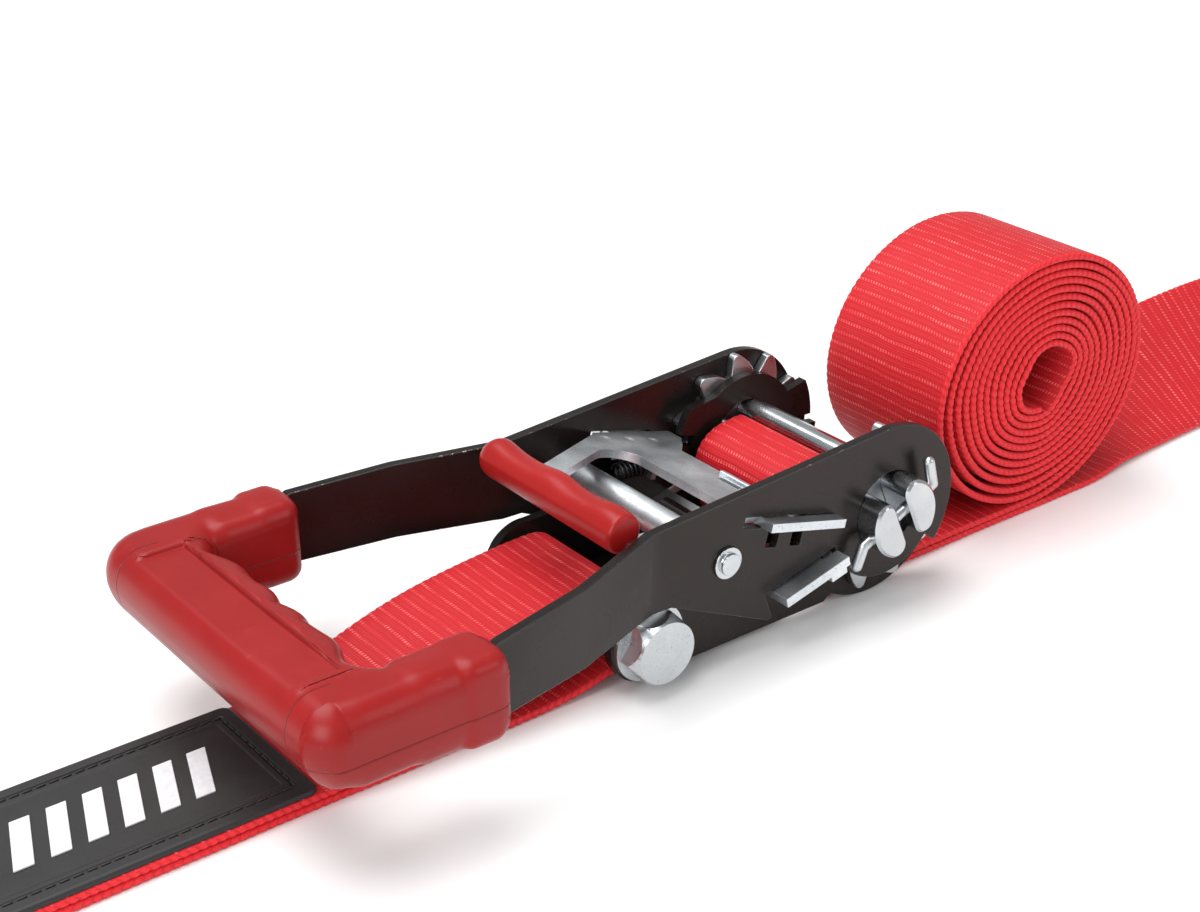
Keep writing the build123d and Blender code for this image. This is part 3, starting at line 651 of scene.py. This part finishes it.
# ---------------------------------------------------------------- CAD nodes: finishes and softened edges
def soften(node, width, materials):
    """Finishes a CAD part and rounds its edges by a width; a second material goes on the edges."""
    part = nodes[node]
    part.data.materials.clear()
    for m in materials:
        part.data.materials.append(m)
    weld = part.modifiers.new("weld", "WELD")
    weld.merge_threshold = 2e-6
    if width > 0:
        flat = part.modifiers.new("flat", "DECIMATE")
        flat.decimate_type = "DISSOLVE"
        flat.angle_limit = math.radians(0.6)
        edge = part.modifiers.new("edge", "BEVEL")
        edge.width = width * MM
        edge.segments = 2
        edge.limit_method = "ANGLE"
        edge.angle_limit = math.radians(32)
        edge.use_clamp_overlap = True
        edge.harden_normals = False
        if len(materials) > 1:
            edge.material = 1
        normals = part.modifiers.new("normals", "WEIGHTED_NORMAL")
        normals.keep_sharp = False
        normals.weight = 80


for node in ("handle_plate_near", "handle_plate_far", "base_frame", "frame_nut"):
    soften(node, 0.35, [enamel, worn_edge])
for node in ("handle_pawl", "lock_pawl", "cross_tube"):
    soften(node, 0.55, [zinc_dull])
for node in ("ratchet_wheel_near", "ratchet_wheel_far"):
    soften(node, 0.3, [zinc])
for node in ("half_shaft_rear", "half_shaft_front", "cross_rivet", "grip_core", "bolt_sleeve"):
    soften(node, 0.2, [zinc_smooth])
for node in ("frame_bolt", "frame_washer", "split_pins", "load_hook", "anchor_hook"):
    soften(node, 0.0, [zinc])
for node in ("handle_pawl_springs", "lock_pawl_springs"):
    soften(node, 0.0, [spring_wire])


# ---------------------------------------------------------------- moulded grip
grip_low, grip_high = size_of("handle_grip")


def box_distance(p, centre, half, radius):
    """Signed distance to a box with rounded edges."""
    q = np.abs(p - centre) - (np.array(half) - radius)
    outside = np.linalg.norm(np.maximum(q, 0), axis=-1)
    return outside + np.minimum(q.max(axis=-1), 0) - radius


def soft_min(a, b, k):
    """Joins two distances with a smooth fillet about k wide."""
    h = np.maximum(k - np.abs(a - b), 0) / k
    return np.minimum(a, b) - h * h * k / 4


def soft_max(a, b, k):
    return -soft_min(-a, -b, k)


bar_thick = 24.0
bump_r = 9.0
window_x = grip_low[0] + bar_thick
arm_inner = 42.5
grip_mid_z = (grip_low[2] + grip_high[2]) / 2


def plan_distance(x, y, low_x, high_x, half_y, corner):
    """Signed distance in plan to a rectangle with rounded corners."""
    qx = np.abs(x - (low_x + high_x) / 2) - ((high_x - low_x) / 2 - corner)
    qy = np.abs(y) - (half_y - corner)
    outside = np.hypot(np.maximum(qx, 0), np.maximum(qy, 0))
    return outside + np.minimum(np.maximum(qx, qy), 0) - corner


def grip_distance(p):
    """Signed distance to the grip: a U of rounded section with finger bumps, a top panel and end collars."""
    x, y, z = p[:, 0], np.abs(p[:, 1]), p[:, 2]
    corner = np.where(p[:, 1] < 0, 7.0, 11.0)
    outer = plan_distance(x, y, grip_low[0], grip_high[0] + 30, grip_high[1], corner)
    window = plan_distance(x, y, window_x, grip_high[0] + 60, arm_inner, 10.0)
    plan = np.maximum(outer, -window)
    front = np.clip((grip_low[0] + 14 - x) / 14, 0, 1)
    low = grip_low[2] + 0.6 + 2.6 * front
    high = grip_high[2] - 0.3 - 1.2 * np.clip((x - grip_low[0] - 30) / 20, 0, 1)
    mid = (low + high) / 2
    half = (high - low) / 2
    round_r = np.where(z > mid, 7.0 + 2.5 * front, 8.0 + 4.5 * front)
    out_side = plan + round_r
    out_top = np.abs(z - mid) - half + round_r
    outside = np.hypot(np.maximum(out_side, 0), np.maximum(out_top, 0))
    body = np.minimum(np.maximum(out_side, out_top), 0) + outside - round_r
    # four finger bumps on the inner side of the bar
    wave = window_x - bump_r + 3.1
    for centre in (7.5, 22.5):
        bump = np.hypot(x - wave, y - centre) - bump_r
        bump = soft_max(bump, np.abs(z - grip_mid_z - 0.6) - 10.2, 5.0)
        body = soft_min(body, bump, 4.5)
    # thick block on the inner side at each arm's end, and a collar round the end
    end = grip_high[0]
    folded = np.column_stack([x, y, z])
    block = box_distance(folded, np.array([end - 13.5, 48.0, grip_mid_z]), (13.5, 8.0, 12.0), 4.5)
    body = soft_min(body, block, 2.5)
    collar = box_distance(folded, np.array([end - 7.0, 49.5, grip_mid_z]), (7.0, 8.9, 12.45), 4.2)
    body = soft_min(body, collar, 1.2)
    body = np.maximum(body, x - end)
    # the flat panel let into the bar's top, shallower towards the near end
    depth = 0.35 + 0.75 * np.clip((p[:, 1] + 38.0) / 30.0, 0, 1)
    panel = np.maximum(np.abs(x - (grip_low[0] + 11.6)) - 6.4, y - 39.0)
    panel = soft_max(panel, grip_high[2] - 0.3 - depth - z, 0.4)
    return soft_max(body, -panel, 0.9)


def settle_on(distance, points, rounds=10):
    """Moves points onto the surface where the distance is zero."""
    step = 0.02
    for _ in range(rounds):
        d = distance(points)
        slope = np.column_stack([
            (distance(points + np.eye(3)[k] * step) - distance(points - np.eye(3)[k] * step)) / (2 * step)
            for k in range(3)
        ])
        size = np.maximum((slope**2).sum(axis=1), 0.25)
        points = points - slope * (0.9 * d / size)[:, None]
    return points


def box_faces(low, high):
    """The eight corners and six faces of a box."""
    corners = [(x, y, z) for x in (low[0], high[0]) for y in (low[1], high[1]) for z in (low[2], high[2])]
    faces = [(0, 1, 3, 2), (4, 6, 7, 5), (0, 4, 5, 1), (2, 3, 7, 6), (0, 2, 6, 4), (1, 5, 7, 3)]
    return corners, faces


def shaped_solid(name, boxes, distance, voxel, material):
    """Rough boxes joined by a voxel remesh, then drawn onto a smooth surface given by its distance."""
    points = []
    faces = []
    for low, high in boxes:
        corners, sides = box_faces(low, high)
        faces += [tuple(i + len(points) for i in side) for side in sides]
        points += corners
    rough = make_object(name + "_rough", points, faces, material)
    remesh = rough.modifiers.new("remesh", "REMESH")
    remesh.mode = "VOXEL"
    remesh.voxel_size = voxel * MM
    ready = bpy.data.meshes.new_from_object(rough.evaluated_get(bpy.context.evaluated_depsgraph_get()))
    bpy.data.objects.remove(rough)
    co = np.zeros(len(ready.vertices) * 3)
    ready.vertices.foreach_get("co", co)
    co = settle_on(distance, co.reshape(-1, 3) / MM)
    ready.vertices.foreach_set("co", (co * MM).ravel())
    relax(ready, distance)
    ready.materials.clear()
    ready.materials.append(material)
    ready.polygons.foreach_set("use_smooth", [True] * len(ready.polygons))
    made = bpy.data.objects.new(name, ready)
    bpy.context.scene.collection.objects.link(made)
    return made


def relax(mesh, distance, rounds=3):
    """Evens out the faces' sizes while the points stay on the surface."""
    work = bmesh.new()
    work.from_mesh(mesh)
    for _ in range(rounds):
        bmesh.ops.smooth_vert(
            work, verts=work.verts, factor=0.5, use_axis_x=True, use_axis_y=True, use_axis_z=True,
        )
        points = np.array([v.co for v in work.verts], float) / MM
        points = settle_on(distance, points, 4) * MM
        for v, p in zip(work.verts, points):
            v.co = p
    work.to_mesh(mesh)
    work.free()


bar_side = grip_high[1] - 8.0
arm_side = grip_high[1] - 1.5
arm_front = grip_low[0] + 10
arm_end = grip_high[0] - 0.6
grip_boxes = [
    ((grip_low[0] + 2, -bar_side, grip_low[2] + 4), (window_x - 2, bar_side, grip_high[2] - 4)),
    ((arm_front, arm_inner + 1.5, grip_low[2] + 2), (arm_end, arm_side, grip_high[2] - 2)),
    ((arm_front, -arm_side, grip_low[2] + 2), (arm_end, -arm_inner - 1.5, grip_high[2] - 2)),
]
grip = shaped_solid("moulded_grip", grip_boxes, grip_distance, 0.62, grip_red)
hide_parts("handle_grip")
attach(grip, "handle")


# ---------------------------------------------------------------- dipped finger bar
bar_low, bar_high = size_of("finger_grip")


def finger_bar():
    """A bar with a round free end, a flat cut end, three finger swellings above and a mould ridge."""
    rings = 90
    around = 44
    near_y = bar_low[1]
    far_y = bar_high[1]
    bar_r = 5.45
    centre_x = -94.0
    centre_z = 20.5
    swell_at = math.radians(62.0)
    ridge_at = math.radians(158.0)
    swell_y = (near_y + 6.0, -1.0, far_y - 5.5)
    points = []
    faces = []
    for i in range(rings + 1):
        y = near_y + (far_y - near_y) * 0.5 * (1 - math.cos(math.pi * i / rings))
        round_end = math.sqrt(max(0.0, 1 - max(0.0, (y - far_y + 6.2) / 6.2) ** 2))
        cut_end = math.sqrt(max(0.0, 1 - max(0.0, (near_y + 1.4 - y) / 1.4) ** 2))
        cap = round_end * (0.80 + 0.20 * cut_end)
        swell = sum(math.exp(-((y - at) / 6.5) ** 2) for at in swell_y)
        for k in range(around):
            a = 2 * math.pi * k / around
            r = bar_r + 1.0 * swell * max(0.0, math.cos(a - swell_at)) ** 1.5
            off = math.atan2(math.sin(a - ridge_at), math.cos(a - ridge_at))
            r += 0.22 * math.exp(-(off / 0.10) ** 2)
            points.append((centre_x + r * cap * math.cos(a), y, centre_z + r * cap * math.sin(a)))
    for i in range(rings):
        for k in range(around):
            n = (k + 1) % around
            faces.append((i * around + k, (i + 1) * around + k, (i + 1) * around + n, i * around + n))
    faces.append(tuple(range(around)))
    made = make_object("dipped_finger_bar", points, faces, dip_red)
    weld = made.modifiers.new("weld", "WELD")
    weld.merge_threshold = 1e-5
    return made


finger = finger_bar()
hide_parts("finger_grip")
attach(finger, "release_pawl")

# ---------------------------------------------------------------- label patch
patch_low, patch_high = size_of("label_patch")


def rounded_outline(low_x, high_x, half_y, corner):
    """Points round a rectangle with rounded corners, in plan."""
    per_corner = 6
    made = []
    left = low_x + corner
    right = high_x - corner
    side = half_y - corner
    for cx, cy, start in ((right, side, 0), (left, side, 90), (left, -side, 180), (right, -side, 270)):
        for i in range(per_corner + 1):
            a = math.radians(start + 90 * i / per_corner)
            made.append((cx + corner * math.cos(a), cy + corner * math.sin(a)))
    return made


def patch_body():
    """The rubber patch: a raised border, a stitch groove and a slightly lower field."""
    profile = [
        (0.0, 0.0), (0.0, 0.7), (0.35, 1.35), (1.0, 1.6), (3.6, 1.6), (4.0, 1.1), (5.0, 1.1),
        (5.4, 1.5), (6.6, 1.5), (7.1, 1.2), (12.0, 1.2),
    ]
    points = []
    faces = []
    for depth, height in profile:
        corner = max(0.6, 3.0 - depth * 0.3)
        outline = rounded_outline(patch_low[0] + depth, patch_high[0] - depth, patch_high[1] - depth, corner)
        count = len(outline)
        points += [(x, y, patch_low[2] + height) for x, y in outline]
    for i in range(len(profile) - 1):
        for k in range(count):
            n = (k + 1) % count
            faces.append((i * count + k, i * count + n, (i + 1) * count + n, (i + 1) * count + k))
    faces.append(tuple((len(profile) - 1) * count + k for k in range(count)))
    faces.append(tuple(range(count))[::-1])
    made = make_object("rubber_patch", points, faces, patch_black, smooth=False)
    edge = made.modifiers.new("edge", "BEVEL")
    edge.width = 0.12 * MM
    edge.segments = 2
    edge.angle_limit = math.radians(20)
    return made


def raised_bars():
    """A row of slanted bars standing on the patch, a plain pattern in place of any mark."""
    points = []
    faces = []
    base = patch_low[2] + 1.15
    top = patch_low[2] + 1.75
    count = 9
    wide = 5.4
    gap = 4.2
    slant = 7.0
    half = 9.5
    sides = ((3, 2, 1, 0), (4, 5, 6, 7), (0, 1, 5, 4), (1, 2, 6, 5), (2, 3, 7, 6), (3, 0, 4, 7))
    start = (patch_low[0] + patch_high[0]) / 2 - (count * (wide + gap) - gap) / 2
    for i in range(count):
        x0 = start + i * (wide + gap)
        left = x0 - slant / 2
        right = x0 + slant / 2
        foot = [(left, -half), (x0 + wide - slant / 2, -half), (x0 + wide + slant / 2, half), (right, half)]
        first = len(points)
        points += [(x, y, base) for x, y in foot] + [(x, y, top) for x, y in foot]
        faces += [tuple(first + j for j in side) for side in sides]
    made = make_object("patch_bars", points, faces, patch_white, smooth=False)
    edge = made.modifiers.new("edge", "BEVEL")
    edge.width = 0.22 * MM
    edge.segments = 3
    return made


# share of a stitch's length and of its thickness at each of its rings
stitch_rings = ((0.0, 0.25), (0.06, 0.75), (0.2, 1.0), (0.5, 1.08), (0.8, 1.0), (0.94, 0.75), (1.0, 0.25))


def capsules(name, spans, radius, material):
    """Short round stitches, each between two points."""
    around = 8
    points = []
    faces = []
    for a, b in spans:
        a = np.array(a, float)
        b = np.array(b, float)
        along = unit(b - a)
        side = unit(np.cross(along, [0.31, 0.17, 0.93]))
        other = np.cross(along, side)
        for share, thick in stitch_rings:
            centre = a + (b - a) * share
            for k in range(around):
                t = 2 * math.pi * k / around
                points.append(centre + radius * thick * (side * math.cos(t) + other * math.sin(t)))
        first = len(points) - len(stitch_rings) * around
        last = len(points) - around
        for here in range(first, last, around):
            for k in range(around):
                n = (k + 1) % around
                faces.append((here + k, here + n, here + around + n, here + around + k))
        faces.append(tuple(first + k for k in range(around))[::-1])
        faces.append(tuple(last + k for k in range(around)))
    return make_object(name, points, faces, material)


def stitch_row(a, b, length, gap):
    """Evenly spaced stitches from a to b."""
    a = np.array(a, float)
    b = np.array(b, float)
    whole = np.linalg.norm(b - a)
    count = max(1, int(whole / (length + gap)))
    along = (b - a) / whole
    pitch = whole / count
    stitch = pitch * length / (length + gap)
    return [(a + along * pitch * i, a + along * (pitch * i + stitch)) for i in range(count)]


def patch_stitches():
    """One row of stitches along each side of the patch, in its groove."""
    edge_gap = 4.5
    z = patch_low[2] + 1.3
    x0 = patch_low[0] + edge_gap
    x1 = patch_high[0] - edge_gap
    y0 = patch_high[1] - edge_gap
    corners = [(x0, -y0, z), (x1, -y0, z), (x1, y0, z), (x0, y0, z)]
    spans = []
    for i in range(4):
        spans += stitch_row(corners[i], corners[(i + 1) % 4], 2.6, 0.9)
    return capsules("patch_stitching", spans, 0.3, thread_black)


patch = patch_body()
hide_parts("label_patch")
bars = raised_bars()
stitches = patch_stitches()
for piece in (patch, bars, stitches):
    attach(piece, "frame")


# ---------------------------------------------------------------- sewn ends by the hooks
def sewn_end(name, x0, x1, z):
    """Zigzag rows of stitches along the doubled strap, side by side."""
    spans = []
    rows = 7
    steps = 8
    for r in range(rows):
        y = -18 + 6 * r
        for i in range(steps):
            a = x0 + (x1 - x0) * i / steps
            b = x0 + (x1 - x0) * (i + 1) / steps
            up = 1.7 if i % 2 else -1.7
            spans.append(((a, y - up, z), (b, y + up, z)))
    return capsules(name, spans, 0.33, thread_red)


load_sewing = sewn_end("load_end_sewing", 305.0, 318.0, next_z + half_t)
anchor_sewing = sewn_end("anchor_end_sewing", -316.0, -304.0, next_z + half_t)
for piece in (load_sewing, anchor_sewing):
    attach(piece, "frame")


# ---------------------------------------------------------------- floor, light, camera
def floor():
    """A pale sweep: flat under the object and curving up far behind it."""
    g = Graph("studio_floor")
    at = g.place()
    cloud = g.noise(at, 3.0, 2.0)
    g.set(Base_Color=g.mix(cloud, rgb(0.86, 0.855, 0.85), rgb(0.88, 0.875, 0.87)), Roughness=0.6)
    half_wide = 6000.0
    flat_end = 2200.0
    cove_r = 1500.0
    ahead_x = 0.6
    ahead_y = 0.8
    profile = [(-4000.0, 0.0), (flat_end, 0.0)]
    for a in np.linspace(0.1, math.pi / 2, 12):
        profile.append((flat_end + cove_r * math.sin(a), cove_r * (1 - math.cos(a))))
    profile.append((flat_end + cove_r, 6000.0))
    points = []
    for reach, rise in profile:
        for s in (-1, 1):
            x = reach * ahead_x + s * half_wide * ahead_y
            y = reach * ahead_y - s * half_wide * ahead_x
            points.append((x, y, ground + rise))
    faces = [(2 * i, 2 * i + 1, 2 * i + 3, 2 * i + 2) for i in range(len(profile) - 1)]
    return make_object("studio_floor", points, faces, g.material)


def area_light(name, place, target, size, power):
    """A rectangular soft light at a place, facing the target; metres and watts."""
    data = bpy.data.lights.new(name, "AREA")
    data.shape = "RECTANGLE"
    data.size, data.size_y = size
    data.energy = power
    made = bpy.data.objects.new(name, data)
    bpy.context.scene.collection.objects.link(made)
    made.location = place
    made.rotation_euler = (Vector(target) - Vector(place)).to_track_quat("-Z", "Y").to_euler()


sweep = floor()
world = bpy.data.worlds.new("studio")
bpy.context.scene.world = world
world.use_nodes = True
background = world.node_tree.nodes["Background"]
background.inputs[0].default_value = rgb(0.96, 0.98, 1.0)
background.inputs[1].default_value = 0.45
area_light("top_softbox", (-0.35, 0.35, 1.5), (0, 0, 0), (1.5, 1.2), 30.0)
area_light("front_left", (-1.5, -0.75, 0.95), (-0.05, 0, 0), (0.9, 0.9), 16.0)
area_light("front_right", (0.75, -1.3, 0.75), (0, 0, 0), (0.8, 0.8), 5.0)

camera_data = bpy.data.cameras.new("camera")
camera = bpy.data.objects.new("camera", camera_data)
bpy.context.scene.collection.objects.link(camera)
camera_data.sensor_width = 36.0
camera_data.lens = 62.1
camera_yaw = 37.7
camera_down = 26.25
camera.location = (-0.3906, -0.4050, 0.2791)
camera.rotation_euler = (math.radians(90 - camera_down), 0.0, math.radians(-camera_yaw))
camera_data.clip_start = 0.01
camera_data.clip_end = 50.0
bpy.context.scene.camera = camera
bpy.context.scene.view_settings.view_transform = "Standard"
